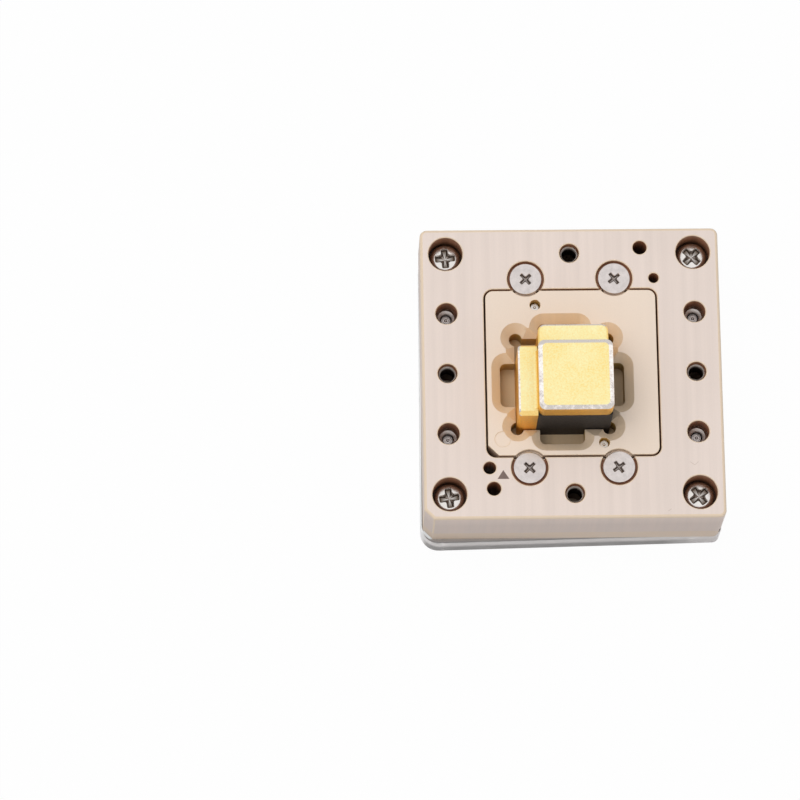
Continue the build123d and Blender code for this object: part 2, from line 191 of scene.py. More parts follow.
class SOCKET_PG_sizes(bpy.types.PropertyGroup):
    """Small sizes that the frame leaves to the finished pieces."""

    body_edge: length_property("Body edge", "Rounding of the body's edges", 0.15)
    nest_edge: length_property("Nest edge", "Rounding of the nest's edges", 0.07)
    module_edge: length_property("Module edge", "Rounding of the module's edges", 0.06)
    plate_edge: length_property("Plate edge", "Bevel along the lower plates", 0.12)
    plate_round: length_property("Plate round", "Corner radius of the retainer", 1.0)
    plate_index_cut: length_property("Index cut", "Cut corner of the retainer at pin 1", 1.4)
    cover_edge: length_property("Cover edge", "Bevel along the clear cover", 0.2)
    cover_round: length_property("Cover round", "Corner radius of the clear cover", 1.0)
    cover_index_round: length_property("Cover index round", "Cover's radius at pin 1", 2.7)
    cover_shift: length_property("Cover shift", "How far the cover sits to the right", 0.15)
    cover_gap: length_property("Cover gap", "Air between the cover and the retainer", 0.02)
    cover_lean: angle_property("Cover lean", "Slant of the cover's left edge", 0.46)
    cover_skew: angle_property("Cover skew", "Slant of the cover's front and back edges", 1.2)
    sawn_share: factor_property("Sawn share", "Where the cover's sawn faces start", 0.94)
    thread_radius: length_property("Thread radius", "Outer radius of every screw thread", 0.975)
    lid_thread_radius: length_property("Lid thread radius", "Bore of the lid's inserts", 1.05)
    thread_pitch: length_property("Thread pitch", "Rise of one thread turn", 0.4)
    hole_clearance: length_property("Hole clearance", "Gap round a thread in a plain hole", 0.225)
    head_clearance: length_property("Head clearance", "Gap round a head in its counterbore", 0.25)
    probe_clearance: length_property("Probe clearance", "Gap round a probe in its hole", 0.06)
    tail_room: length_property("Tail room", "Depth of the cover's room for probe tails", 0.6)
    tail_margin: length_property("Tail margin", "Room round the outer probes", 2.0)
    corner_head: length_property("Corner head", "Height of the pan heads", 1.85)
    nest_head: length_property("Nest head", "Height of the flat heads", 1.0)
    retainer_head: length_property("Retainer head", "Height of the retainer screws' heads", 1.2)
    cap_bevel: length_property("Cap bevel", "Height of the bare bevel round the cap", 0.4)
    arm_edge: length_property("Arm edge", "Width of the bare edges along the arms", 0.4)
    sign_width: length_property("Sign width", "Base of the triangle", 1.67)
    sign_height: length_property("Sign height", "Height of the triangle", 1.27)
    sign_lift: length_property("Sign lift", "Thickness of the ink", 0.008)
    turned_steps: IntProperty(
        name="Turned steps", description="Segments round a turned piece", default=48, min=12
    )


class SOCKET_PG_stage(bpy.types.PropertyGroup):
    """Camera and light."""

    lens: FloatProperty(name="Lens", description="Focal length in millimetres", default=216.0)
    sensor: FloatProperty(name="Sensor", description="Sensor width in millimetres", default=36.0)
    distance: length_property("Distance", "From the camera to its target", 672.4448)
    elevation: angle_property("Elevation", "Camera above the horizon", 74.5375)
    azimuth: angle_property("Azimuth", "Camera's turn about the socket", -5.2615)
    roll: angle_property("Roll", "Camera's turn about its own line of sight", 4.558)
    target: FloatVectorProperty(
        name="Target", description="Where the camera points, on the body's top", size=2,
        unit="LENGTH", default=(-24.2383 * MM, -3.8198 * MM),
    )
    sky: FloatProperty(name="Sky", description="Strength of the even light", default=0.5)
    key_power: FloatProperty(
        name="Key", description="Soft box from the upper left, in watts", default=3.62
    )
    fill_power: FloatProperty(
        name="Fill", description="Soft box from the front right, in watts", default=0.5
    )
    floor_glow: factor_property("Floor glow", "How far the floor shows as plain white", 0.975)


def finishes():
    """The scene's colours."""
    return bpy.context.scene.socket_finishes


def sizes():
    """The scene's small sizes."""
    return bpy.context.scene.socket_sizes


def stage_settings():
    """The scene's camera and light."""
    return bpy.context.scene.socket_stage


class Value:
    """A shader socket in arithmetic: each operation on it adds a Math node."""

    def __init__(self, finish, socket):
        self.finish = finish
        self.socket = socket

    def maths(self, operation, *values):
        """Math node of one operation."""
        return self.finish.add("ShaderNodeMath", {"operation": operation}, dict(enumerate(values)))

    def __add__(self, other):
        return self.maths("ADD", self, other)

    def __sub__(self, other):
        return self.maths("SUBTRACT", self, other)

    def __rsub__(self, other):
        return self.maths("SUBTRACT", other, self)

    def __mul__(self, other):
        return self.maths("MULTIPLY", self, other)

    def __gt__(self, other):
        return self.maths("GREATER_THAN", self, other)

    def __lt__(self, other):
        return self.maths("LESS_THAN", self, other)

    def __abs__(self):
        return self.maths("ABSOLUTE", self)

    def at_least(self, other):
        """The larger of two values."""
        return self.maths("MAXIMUM", self, other)

    __radd__ = __add__
    __rmul__ = __mul__


class Finish:
    """Material or world whose nodes are written as expressions."""

    def __init__(self, owner, shader="Principled BSDF"):
        owner.use_nodes = True
        self.owner = owner
        self.tree = owner.node_tree
        self.surface = self.tree.nodes[shader]

    def add(self, kind, settings=None, inputs=None, output=0):
        """New node: its settings come first, then the values or links of its sockets."""
        node = self.tree.nodes.new(kind)
        for name, setting in (settings or {}).items():
            setattr(node, name, setting)
        self.fill(node, inputs or {})
        return Value(self, node.outputs[output])

    def fill(self, node, inputs):
        """Values or links of a node's sockets."""
        for name, value in inputs.items():
            if isinstance(value, Value):
                self.tree.links.new(value.socket, node.inputs[name])
            else:
                node.inputs[name].default_value = value

    def finish_surface(self, **inputs):
        """Values or links of the surface shader, with its socket names in small letters."""
        self.fill(self.surface, {name.replace("_", " ").title(): v for name, v in inputs.items()})
        return self.owner

    def seen_directly(self):
        """1 for the camera, reflections and refractions, 0 for the light on matte surfaces."""
        rays = ("Is Camera Ray", "Is Glossy Ray", "Is Transmission Ray")
        camera, glossy, transmission = (self.add("ShaderNodeLightPath", output=ray) for ray in rays)
        return camera + glossy + transmission

    def coordinates(self, stretch=(1, 1, 1)):
        """Object coordinates, stretched along the axes."""
        place = self.add("ShaderNodeTexCoord", output="Object")
        return self.add("ShaderNodeMapping", inputs={"Vector": place, "Scale": stretch})

    def axis(self, name):
        """One object coordinate, in metres."""
        place = self.add("ShaderNodeTexCoord", output="Object")
        return self.add("ShaderNodeSeparateXYZ", inputs={"Vector": place}, output=name)

    def grain(self, per_metre, stretch=(1, 1, 1), detail=2.0):
        """Noise about zero, with so many grains to a metre."""
        inputs = {"Vector": self.coordinates(stretch), "Scale": per_metre, "Detail": detail}
        return self.add("ShaderNodeTexNoise", inputs=inputs, output="Fac") - 0.5

    def specks(self, per_metre, radius, share):
        """Mask of round specks in some of the cells."""
        inputs = {"Vector": self.coordinates(), "Scale": per_metre}
        distance = self.add("ShaderNodeTexVoronoi", inputs=inputs, output="Distance")
        colour = self.add("ShaderNodeTexVoronoi", inputs=inputs, output="Color")
        pick = self.add("ShaderNodeSeparateXYZ", inputs={"Vector": colour}, output="X")
        return (distance < radius * per_metre) * (pick < share)

    def mark(self, name):
        """Mark that the mesh carries on its faces."""
        return self.add("ShaderNodeAttribute", {"attribute_name": name}, output="Fac")

    def ramp(self, value, start, end):
        """0 to 1 between two values, in either direction."""
        return self.add("ShaderNodeMapRange", inputs={0: value, 1: start, 2: end})

    def stroke(self, start, end, width):
        """Mask of a straight scratch between two points seen from above."""
        run = Vector(end) - Vector(start)
        along = run.normalized()
        x, y = self.axis("X") - start[0], self.axis("Y") - start[1]
        distance = x * along.x + y * along.y
        offset = abs(x * -along.y + y * along.x)
        return (distance > 0) * (distance < run.length) * (offset < width / 2)

    def blend(self, factor, first, second):
        """Colour between two colours, each a link or three plain values."""
        pair = [c if isinstance(c, Value) else (*c[:3], 1) for c in (first, second)]
        inputs = {0: factor, 6: pair[0], 7: pair[1]}
        return self.add("ShaderNodeMix", {"data_type": "RGBA"}, inputs, output=2)

    def shaded(self, colour, factor, depth):
        """Colour that a factor about zero makes lighter or darker by a depth."""
        dark, light = ([c * share for c in colour] for share in (1 - depth, 1 + depth))
        return self.blend(factor + 0.5, dark, light)

    def bump(self, height, distance, strength=1.0):
        """Normal of a surface with small heights."""
        inputs = {"Strength": strength, "Distance": distance, "Height": height}
        return self.add("ShaderNodeBump", inputs=inputs)


def new_finish(name):
    """Finish of a new material."""
    return Finish(bpy.data.materials.new(name))


def plastic_finish(name, colour, cut_tone_and_shade, streak_share, deep_shade_share, scratches=()):
    """Machined plastic: faint cutter streaks along Y, fine grain, warm edges and a few specks, with
    the cut colour and painted shade in its cut walls and floors, deeper down deep bores.
    """
    finish = new_finish(name)
    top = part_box("socket_body")[1].z
    bore = finish.mark("bore")
    streaks = finish.grain(1100, (1, 0.02, 0.05), 3.0)
    mottle = finish.grain(90)
    grain = finish.grain(5200, detail=3.0)
    tone = streaks * (bore * 2.5 + streak_share) + mottle * 0.9 + grain * 0.7
    colour = finish.shaded(colour, tone, 0.055)
    # Cut walls and floors take the cut colour: a browner tone with painted shade on the body,
    # painted gold reflection and shade on the nest
    colour = finish.blend(bore, colour, finish.shaded(cut_tone_and_shade, tone, 0.12))
    # Painted shade that deepens towards the foot of deep bores
    depth = finish.ramp(finish.axis("Z"), top - 0.4 * MM, top - 4.0 * MM)
    colour = finish.blend(bore * depth * deep_shade_share, colour, finishes().deep)
    colour = finish.blend(finish.mark("edge") * 0.75, colour, finishes().edge_tone)
    specks = finish.specks(130, SPECK_SIZE, 0.12)
    colour = finish.blend(specks * 0.6, colour, finishes().speck)
    for start, end in scratches:
        scratch = finish.stroke(Vector(start) * MM, Vector(end) * MM, SPECK_SIZE)
        colour = finish.blend(scratch * 0.3, colour, finishes().speck)
    return finish.finish_surface(
        base_color=colour,
        roughness=grain * 0.25 + streaks * 0.15 + 0.46,
        normal=finish.bump(grain + streaks * 0.5, 0.012 * MM, 0.5),
    )


def gold_finish():
    """Blasted and gold-coloured metal, which glitters in fine grains, with painted shade on its
    upright faces.
    """
    finish = new_finish("module_gold")
    sparkle = finish.grain(4600, detail=3.0)
    broad = finish.grain(160)
    tone = sparkle * 1.1 + broad * 0.9
    colour = finish.blend(
        finish.mark("side"),
        finish.blend(tone + 0.5, finishes().gold, finishes().gold_pale),
        finish.shaded(finishes().gold_side_shade, tone, 0.25),
    )
    return finish.finish_surface(
        base_color=colour,
        metallic=1.0,
        roughness=sparkle * 0.35 + 0.42,
        normal=finish.bump(sparkle, 0.02 * MM, 0.55),
    )


def bare_metal_finish():
    """Bare bevels, cut bright with fine chatter, with painted shade along the back and the front.
    """
    finish = new_finish("module_bare_metal")
    chatter = finish.grain(2600, detail=3.0)
    scratches = finish.grain(900, (1, 1, 0.1), 4.0)
    low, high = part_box("module_core")
    shade = finish.ramp(finish.axis("Y"), high.y - 0.9 * MM, high.y - 0.5 * MM) * 1.1
    shade += finish.ramp(finish.axis("Y"), low.y + 0.9 * MM, low.y + 0.5 * MM) * 0.5
    colour = finish.shaded(finishes().bare_metal, chatter * 2.2 + scratches * 1.4 - shade, 0.3)
    return finish.finish_surface(
        base_color=colour,
        metallic=1.0,
        roughness=chatter * 0.3 + 0.3,
        normal=finish.bump(chatter, 0.02 * MM, 0.5),
    )


def core_finish():
    """Matte black moulding with a dry grain."""
    finish = new_finish("module_core_black")
    grain = finish.grain(3600, detail=4.0)
    clouds = finish.grain(260)
    return finish.finish_surface(
        base_color=finish.shaded(finishes().core, grain + clouds * 0.8, 0.35),
        roughness=grain * 0.3 + 0.62,
        normal=finish.bump(grain, 0.02 * MM, 0.5),
    )


def plated_finish(name, colour, roughness, spread):
    """Plated metal with small stains; its driver recess takes a darker colour, partly duller
    plating and partly painted shade.
    """
    finish = new_finish(name)
    stains = finish.grain(1300, detail=4.0)
    fine = finish.grain(6500)
    recess = finish.mark("recess")
    colour = finish.shaded(colour, stains * 1.2 + fine * 0.6, spread)
    # The recess mark lays duller plating and painted shade on the recess floor
    return finish.finish_surface(
        base_color=finish.blend(recess, colour, finishes().recess),
        metallic=1.0,
        roughness=stains * 0.25 + recess * 0.12 + roughness,
        normal=finish.bump(stains + fine, 0.008 * MM, 0.5),
    )


def wire_finish(name, roughness, shaded_below=0.0):
    """Drawn or ground steel with fine lines round it, with painted shade below a height."""
    finish = new_finish(name)
    lines = finish.grain(2400, (0.2, 0.2, 4), 2.0)
    stains = finish.grain(1500, detail=3.0)
    depth_shade = finish.ramp(finish.axis("Z"), shaded_below, shaded_below - 0.9 * MM)
    colour = finish.shaded(finishes().wire, stains + lines, 0.14)
    return finish.finish_surface(
        base_color=finish.blend(depth_shade * 0.92, colour, finishes().deep),
        metallic=1.0,
        roughness=stains * 0.3 + roughness,
        normal=finish.bump(lines, 0.006 * MM, 0.4),
    )


def probe_finish():
    """Gold plating of the probes."""
    finish = new_finish("probe_gold")
    stains = finish.grain(2200, detail=3.0)
    return finish.finish_surface(
        base_color=finish.shaded(finishes().probe, stains, 0.15),
        metallic=1.0,
        roughness=stains * 0.3 + 0.26,
        normal=finish.bump(stains, 0.006 * MM, 0.4),
    )


def clear_finish():
    """Clear plastic with a little haze, shaded along the rim that the retainer leaves bare."""
    finish = new_finish("clear_plastic")
    haze = finish.grain(700, (1, 1, 0.25), 3.0)
    reach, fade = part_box("probe_retainer")[1].x, 0.3 * MM
    x, y = abs(finish.axis("X")), abs(finish.axis("Y"))
    ledge = finish.ramp(x.at_least(y), reach - fade, reach)
    diagonal = 2 * reach - sizes().plate_index_cut
    corner = finish.ramp(finish.axis("X") + finish.axis("Y"), fade - diagonal, -diagonal)
    ledge = ledge.at_least(corner * 0.5)
    clear = finish.shaded(finishes().clear, haze, 0.05)
    return finish.finish_surface(
        base_color=finish.blend(ledge, clear, finish.shaded(finishes().clear_ledge, haze, 0.2)),
        transmission_weight=1.0,
        roughness=haze * 0.1 + 0.05,
        normal=finish.bump(haze, 0.01 * MM, 0.4),
    )


def sawn_finish():
    """Sawn edges of the clear plastic: a light band between dark lines of painted shade, with
    painted light that makes it paler at both ends.
    """
    finish = new_finish("clear_plastic_sawn")
    low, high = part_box("protective_cover")
    haze = finish.grain(420, (1, 1, 0.5), 3.0)
    saw = finish.grain(2600, (0.15, 0.15, 3), 2.0)
    height = finish.axis("Z") + haze * 0.6 * MM
    foot = finish.ramp(height, low.z + 3.2 * MM, low.z + 2.0 * MM)
    right_end = finish.ramp(finish.axis("X"), high.x - 8 * MM, high.x - 2 * MM)
    left_end = finish.ramp(finish.axis("X"), low.x + 0.8 * MM, low.x + 0.2 * MM)
    brim = finish.ramp(height, high.z - 0.6 * MM, high.z - 0.3 * MM)
    # Painted shade along the foot and the brim, lifted by painted light at both ends
    shade = (foot + brim) * (1 - right_end * 0.8) * (1 - left_end)
    band = finish.shaded(finishes().clear_band, haze * 1.5 + saw, 0.12)
    # Painted light turns the band white at the left end
    band = finish.blend(left_end, band, (1, 1, 1))
    return finish.finish_surface(
        base_color=finish.blend(shade, band, finishes().clear_edge_shade),
        transmission_weight=0.4,
        roughness=haze * 0.2 + 0.35,
        normal=finish.bump(saw + haze, 0.01 * MM, 0.4),
    )


def sign_finish():
    """Thin ink of the sign, worn through in places."""
    finish = new_finish("sign_ink")
    wear = finish.grain(3000, detail=4.0)
    return finish.finish_surface(
        base_color=finish.shaded(finishes().sign, wear * 1.5, 0.2),
        roughness=wear * 0.2 + 0.55,
    )


def floor_finish(glow):
    """Pale floor that keeps the shadow and shows as white to the camera and in reflections."""
    finish = new_finish("floor_pale")
    paper = finish.grain(300)
    finish.finish_surface(
        base_color=finish.shaded(finishes().floor, paper, 0.01), roughness=paper * 0.1 + 0.9
    )
    white = finish.add("ShaderNodeEmission", inputs={"Color": (1, 1, 1, 1), "Strength": 1.0})
    surface = Value(finish, finish.surface.outputs[0])
    direct = finish.seen_directly() * glow
    mixed = finish.add("ShaderNodeMixShader", inputs={0: direct, 1: surface, 2: white})
    finish.fill(finish.tree.nodes["Material Output"], {"Surface": mixed})
    return finish.owner


def merged_copy(node):
    """Bmesh of a CAD node with its loose triangles merged."""
    bm = bmesh.new()
    bm.from_mesh(frame["nodes"][node].data)
    bmesh.ops.remove_doubles(bm, verts=bm.verts, dist=MERGE_DISTANCE)
    return bm


def box_round(points):
    """Lowest and highest corner round some points."""
    low = Vector(min(point[i] for point in points) for i in range(3))
    high = Vector(max(point[i] for point in points) for i in range(3))
    return low, high


def solid_boxes(node):
    """Box of each separate solid of a node, from the back left to the front right."""
    bm = merged_copy(node)
    waiting = set(bm.verts)
    boxes = []
    while waiting:
        reached = [waiting.pop()]
        for vert in reached:
            near = {edge.other_vert(vert) for edge in vert.link_edges} & waiting
            waiting -= near
            reached += near
        boxes.append(box_round([vert.co for vert in reached]))
    bm.free()
    return sorted(boxes, key=lambda box: (-round(box[0].y, 4), box[0].x))


def half_width(box):
    """Half of a box's extent along X."""
    return (box[1].x - box[0].x) / 2


def centre_at(box, height):
    """Point on a box's upright axis."""
    low, high = box
    return Vector(((low.x + high.x) / 2, (low.y + high.y) / 2, height))


def numbered(node):
    """Names of a node's numbered copies."""
    return sorted(name for name in frame["nodes"] if name.startswith(node + "_"))


def numbered_boxes(node):
    """Boxes of a node's numbered copies."""
    return [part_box(name) for name in numbered(node)]


def bevel(bm, geom, size, segments, affect="EDGES", **settings):
    """Bevels edges or vertices and returns the new faces."""
    made = bmesh.ops.bevel(
        bm, geom=geom, offset=size, offset_type="OFFSET", affect=affect, segments=segments,
        profile=0.5, material=-1, **settings,
    )
    return made["faces"]


def dressed_copy(node, edge_size, wanted):
    """Copy of a CAD mesh with flat faces joined and its wanted outer edges rounded and marked."""
    bm = merged_copy(node)
    bmesh.ops.dissolve_limit(
        bm, angle_limit=FLAT_ANGLE, use_dissolve_boundaries=False, verts=bm.verts, edges=bm.edges
    )
    mark = bm.faces.layers.float.new("edge")
    outer = [edge for edge in bm.edges if edge.is_manifold and edge.is_convex]
    sharp = [edge for edge in outer if edge.calc_face_angle() > SHARP_ANGLE and wanted(edge)]
    for face in bevel(bm, sharp, edge_size, 2, clamp_overlap=False, loop_slide=False):
        face[mark] = 1.0
    return bm


def mark_bores(bm, reach, top, floor_shade_share):
    """Marks the walls that were cut into a block, more the steeper they are, and its floors, for
    the cut tone with its painted shade; outer walls take a little of it and outer slopes the edge
    tone.
    """
    edge = bm.faces.layers.float["edge"]
    mark = bm.faces.layers.float.new("bore")
    for face in bm.faces:
        middle, upward = face.calc_center_median(), face.normal.z
        if max(abs(middle.x), abs(middle.y)) >= reach - MM:
            face[edge] = max(face[edge], SLOPE_EDGE_TONE * (SLOPE_LOW < upward < SLOPE_HIGH))
            face[mark] = WALL_TONE * (upward < SLOPE_LOW)
        elif not face[edge] and upward < SLOPE_HIGH:
            face[mark] = 1 - upward
        elif not face[edge] and middle.z < top - FLOOR_DEPTH:
            face[mark] = floor_shade_share


def mesh_of(bm, name):
    """Mesh of a bmesh, which is used up."""
    mesh = bpy.data.meshes.new(name)
    bm.to_mesh(mesh)
    bm.free()
    return mesh


def new_object(name, data):
    """New object in the scene."""
    made = bpy.data.objects.new(name, data)
    bpy.context.scene.collection.objects.link(made)
    return made


def finished_piece(bm, name, materials, body, nodes):
    """Makes a bmesh a piece that stands for CAD nodes and rides on their body."""
    bm.normal_update()
    for face in bm.faces:
        face.smooth = True
    for edge in bm.edges:
        edge.smooth = edge.is_manifold and edge.calc_face_angle() < SMOOTH_ANGLE
    mesh = mesh_of(bm, name)
    for material in materials:
        mesh.materials.append(material)
    piece = new_object(name, mesh)
    piece.modifiers.new("Even normals", "WEIGHTED_NORMAL").keep_sharp = True
    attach(piece, body)
    if nodes:
        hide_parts(*nodes)
    return piece


def gather(target, part, place):
    """Adds a part to a group at its place."""
    bmesh.ops.transform(part, matrix=place, verts=part.verts)
    mesh = mesh_of(part, "part")
    target.from_mesh(mesh)
    bpy.data.meshes.remove(mesh)


def outline_points(bm, points, closed):
    """Vertices and edges of an outline of (radius, height) points."""
    verts = [bm.verts.new((radius, 0, height)) for radius, height in points]
    ends = verts[1:] + verts[:1] if closed else verts[1:]
    edges = [bm.edges.new(pair) for pair in zip(verts, ends)]
    return verts + edges


def spin_round(bm, points, closed=False):
    """Turns an outline a full turn about Z and closes the seam."""
    bmesh.ops.spin(
        bm, geom=outline_points(bm, points, closed), cent=(0, 0, 0), axis=(0, 0, 1),
        angle=2 * math.pi, steps=sizes().turned_steps, use_merge=True,
    )
    bmesh.ops.remove_doubles(bm, verts=bm.verts, dist=MERGE_DISTANCE)


def turned(points, closed=False):
    """Piece turned about Z from an outline that ends on the axis, or from a closed one."""
    bm = bmesh.new()
    spin_round(bm, points, closed)
    bmesh.ops.recalc_face_normals(bm, faces=bm.faces)
    return bm


def coil(section, runs):
    """Wire of a closed section wound about Z in runs of (turns, pitch)."""
    bm = bmesh.new()
    steps = sizes().turned_steps
    last = outline_points(bm, section, closed=True)
    for turns, pitch in runs:
        wound = bmesh.ops.spin(
            bm, geom=last, cent=(0, 0, 0), axis=(0, 0, 1), dvec=(0, 0, pitch / steps),
            angle=2 * math.pi * turns, steps=round(turns * steps),
        )
        last = wound["geom_last"]
    bmesh.ops.holes_fill(bm, edges=[edge for edge in bm.edges if edge.is_boundary])
    bmesh.ops.recalc_face_normals(bm, faces=bm.faces)
    return bm


def round_section(radius, wire, low, sides):
    """Round wire section whose lowest point is at a height."""
    centre = radius - wire / 2
    angles = [2 * math.pi * side / sides for side in range(sides)]
    return [
        (centre + wire / 2 * math.cos(a), low + wire / 2 + wire / 2 * math.sin(a)) for a in angles
    ]


def thread_ridges(radius, depth, pitch, low, high):
    """Outline of thread ridges from a low to a high end."""
    count = int((high - low) / pitch)
    points = []
    for ridge in range(count):
        height = low + ridge * pitch
        points += [(radius - depth, height), (radius, height + pitch / 2)]
    return points + [(radius - depth, low + count * pitch)]


def turned_end(radius, length):
    """Outline of a screw's end: a centre mark, a turned ring and a bevel."""
    return [
        (0, 0.1 * MM - length),
        (0.16 * radius, 0.06 * MM - length),
        (0.24 * radius, -length),
        (0.4 * radius, -length),
        (0.46 * radius, 0.05 * MM - length),
        (0.54 * radius, 0.05 * MM - length),
        (0.6 * radius, -length),
        (0.66 * radius, -length),
    ]


def rim_round(radius, height, width, drop, steps=5):
    """Quarter round from a head's side to its top."""
    quarter = [math.pi / 2 * step / steps for step in range(steps + 1)]
    return [
        (radius - width * (1 - math.cos(a)), height - drop * (1 - math.sin(a))) for a in quarter
    ]


def cross_face(bm, span, arm, rounding):
    """Flat face in the form of a cross with round corners."""
    square = bmesh.ops.create_grid(bm, x_segments=1, y_segments=1, size=arm / 2)["verts"]
    for edge in {edge for vert in square for edge in vert.link_edges}:
        outward = (edge.verts[0].co + edge.verts[1].co).normalized()
        arm_end = bmesh.ops.extrude_edge_only(bm, edges=[edge])["geom"]
        tips = [item for item in arm_end if isinstance(item, bmesh.types.BMVert)]
        bmesh.ops.translate(bm, verts=tips, vec=outward * (span - arm) / 2)
    faces = list({face for vert in square for face in vert.link_faces})
    cross = bmesh.ops.dissolve_faces(bm, faces=faces)["region"][0]
    bevel(bm, list(cross.verts), rounding, 3, "VERTICES")
    return max(bm.faces, key=lambda face: len(face.verts))


def sink_cross(bm, cross, depth):
    """Bright lip and tapered walls of a driver recess, and a floor that falls to its middle; the
    floor's outline is marked for painted shade and its middle is left nearly unmarked, so it shows
    bright.
    """
    mark = bm.verts.layers.float["recess"]
    lip, taper, dip = 0.16 * depth, 0.28 * depth, 0.4 * depth
    for inset, drop in ((lip, lip), (taper, depth)):
        bmesh.ops.inset_region(
            bm, faces=[cross], use_boundary=True, use_even_offset=True, thickness=inset, depth=-drop
        )
    for vert in cross.verts:
        vert[mark] = 1.0
    middle = bmesh.ops.poke(bm, faces=[cross], offset=-dip)["verts"][0]
    middle[mark] = 0.1


def cross_screw(radius, height, shank, turn, rim_width, rim_drop, dome, span, arm, depth):
    """Screw that hangs from its seat at zero, with a domed head and a cross recess."""
    thread, pitch = sizes().thread_radius, sizes().thread_pitch
    end_bevel, seat_bevel, ridge = 0.34 * thread, 0.05 * MM, 0.3 * pitch
    outline = turned_end(thread, shank)
    outline += thread_ridges(thread, ridge, pitch, end_bevel - shank, -pitch / 2)
    outline += [(thread * 0.9, 0), (radius - seat_bevel, 0), (radius, seat_bevel)]
    outline += rim_round(radius, height - dome, rim_width, rim_drop)

    bm = bmesh.new()
    bm.verts.layers.float.new("recess")
    cross = cross_face(bm, span, arm, arm * 0.22)
    for vert in cross.verts:
        vert.co.z = height - dome * (vert.co.xy.length / (radius - rim_width)) ** 2
    bmesh.ops.rotate(bm, verts=bm.verts, cent=(0, 0, 0), matrix=Matrix.Rotation(turn, 3, "Z"))
    sink_cross(bm, cross, depth)
    spin_round(bm, outline)
    bmesh.ops.bridge_loops(bm, edges=[edge for edge in bm.edges if edge.is_boundary])
    bmesh.ops.recalc_face_normals(bm, faces=bm.faces)
    return bm


def screw_set(node, name, finish, slot, height, turns, head_down=False, **form):
    """Set of like screws, with the form of their heads in millimetres."""
    form = {key: size * MM for key, size in form.items()}
    group = bmesh.new()
    group.verts.layers.float.new("recess")
    for box, turn in zip(solid_boxes(node), turns):
        low, high = box[0].z, box[1].z
        seat = low + height if head_down else high - height
        shank = high - seat if head_down else seat - low
        screw = cross_screw(half_width(box), height, shank, math.radians(turn), **form)
        place = Matrix.Translation(centre_at(box, seat))
        gather(group, screw, place @ UPSIDE_DOWN if head_down else place)
    finished_piece(group, name, [finish], "socket", [node])


def thicken(bm, height):
    """Raises a flat shape to a solid."""
    raised = bmesh.ops.extrude_face_region(bm, geom=list(bm.faces))["geom"]
    verts = [item for item in raised if isinstance(item, bmesh.types.BMVert)]
    bmesh.ops.translate(bm, verts=verts, vec=(0, 0, height))
    bmesh.ops.recalc_face_normals(bm, faces=bm.faces)


def square_plate(side, low, high, corners):
    """Square plate whose corners, by their (x, y) signs, are cut or rounded by (size, segments)."""
    bm = bmesh.new()
    bmesh.ops.create_grid(bm, x_segments=1, y_segments=1, size=side / 2)
    for (sign_x, sign_y), (size, segments) in corners.items():
        corner = max(bm.verts, key=lambda vert: vert.co.x * sign_x + vert.co.y * sign_y)
        bevel(bm, [corner], size, segments, "VERTICES")
    thicken(bm, high - low)
    bmesh.ops.translate(bm, verts=bm.verts, vec=(0, 0, low))
    return bm


def bevel_rims(bm, size):
    """Rounds and marks the edges round a plate's two faces."""
    mark = bm.faces.layers.float.new("edge")
    ends = [(edge, *(vert.co.z for vert in edge.verts)) for edge in bm.edges]
    rims = [edge for edge, start, end in ends if abs(start - end) < MERGE_DISTANCE]
    for face in bevel(bm, rims, size, 3):
        face[mark] = 1.0


def drilled(bm, cutters):
    """A plate less its cutters."""
    tool = bmesh.new()
    for cutter, place in cutters:
        gather(tool, cutter, Matrix.Translation(place))
    plate, drill = (
        new_object(name, mesh_of(shape, name)) for name, shape in (("plate", bm), ("tool", tool))
    )
    cut = plate.modifiers.new("Bores", "BOOLEAN")
    cut.operation = "DIFFERENCE"
    cut.solver = "EXACT"
    cut.object = drill
    graph = bpy.context.evaluated_depsgraph_get()
    result = bpy.data.meshes.new_from_object(plate.evaluated_get(graph))
    made = bmesh.new()
    made.from_mesh(result)
    for mesh in (result, plate.data, drill.data):
        bpy.data.meshes.remove(mesh)
    return made


def bore(radius, low, high):
    """Round cutter between two heights."""
    return turned([(0, low), (radius, low), (radius, high), (0, high)])


def bores(boxes, gap, low, high):
    """Round cutters between two heights, a gap wider than some boxes, each with its place."""
    return [(bore(half_width(box) + gap, low, high), centre_at(box, 0)) for box in boxes]


class SOCKET_OT_body(bpy.types.Operator):
    """Dresses the moulded body"""

    bl_idname = "socket.body"
    bl_label = "Body"

    def execute(self, context):
        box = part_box("socket_body")
        reach = half_width(box)
        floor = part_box("nest_plate")[0].z

        def wanted(edge):
            middle = (edge.verts[0].co + edge.verts[1].co) / 2
            outside = max(abs(middle.x), abs(middle.y)) > reach - 2 * MM
            return middle.z > floor or outside and edge.calc_length() > MM

        bm = dressed_copy("socket_body", sizes().body_edge, wanted)
        mark_bores(bm, reach, box[1].z, floor_shade_share=1.0)
        plastic = plastic_finish(
            "body_plastic", finishes().body, finishes().bore, streak_share=1.6, deep_shade_share=0.8,
            scratches=SCRATCHES,
        )
        finished_piece(bm, "body_block", [plastic], "socket", ["socket_body"])
        return {"FINISHED"}


class SOCKET_OT_nest(bpy.types.Operator):
    """Dresses the floating nest"""

    bl_idname = "socket.nest"
    bl_label = "Nest"

    def execute(self, context):
        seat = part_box("module_core")[0].z

        def wanted(edge):
            above = min(vert.co.z for vert in edge.verts) > seat + MM
            return above and edge.calc_face_angle() > STEEP_ANGLE

        bm = dressed_copy("nest_plate", sizes().nest_edge, wanted)
        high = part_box("nest_plate")[1]
        mark_bores(bm, high.x, high.z, floor_shade_share=0.5)
        plastic = plastic_finish(
            "nest_plastic", finishes().nest, finishes().pocket_reflection_and_shade, streak_share=0.3, deep_shade_share=0.45
        )
        finished_piece(bm, "nest_frame", [plastic], "nest", ["nest_plate"])
        return {"FINISHED"}


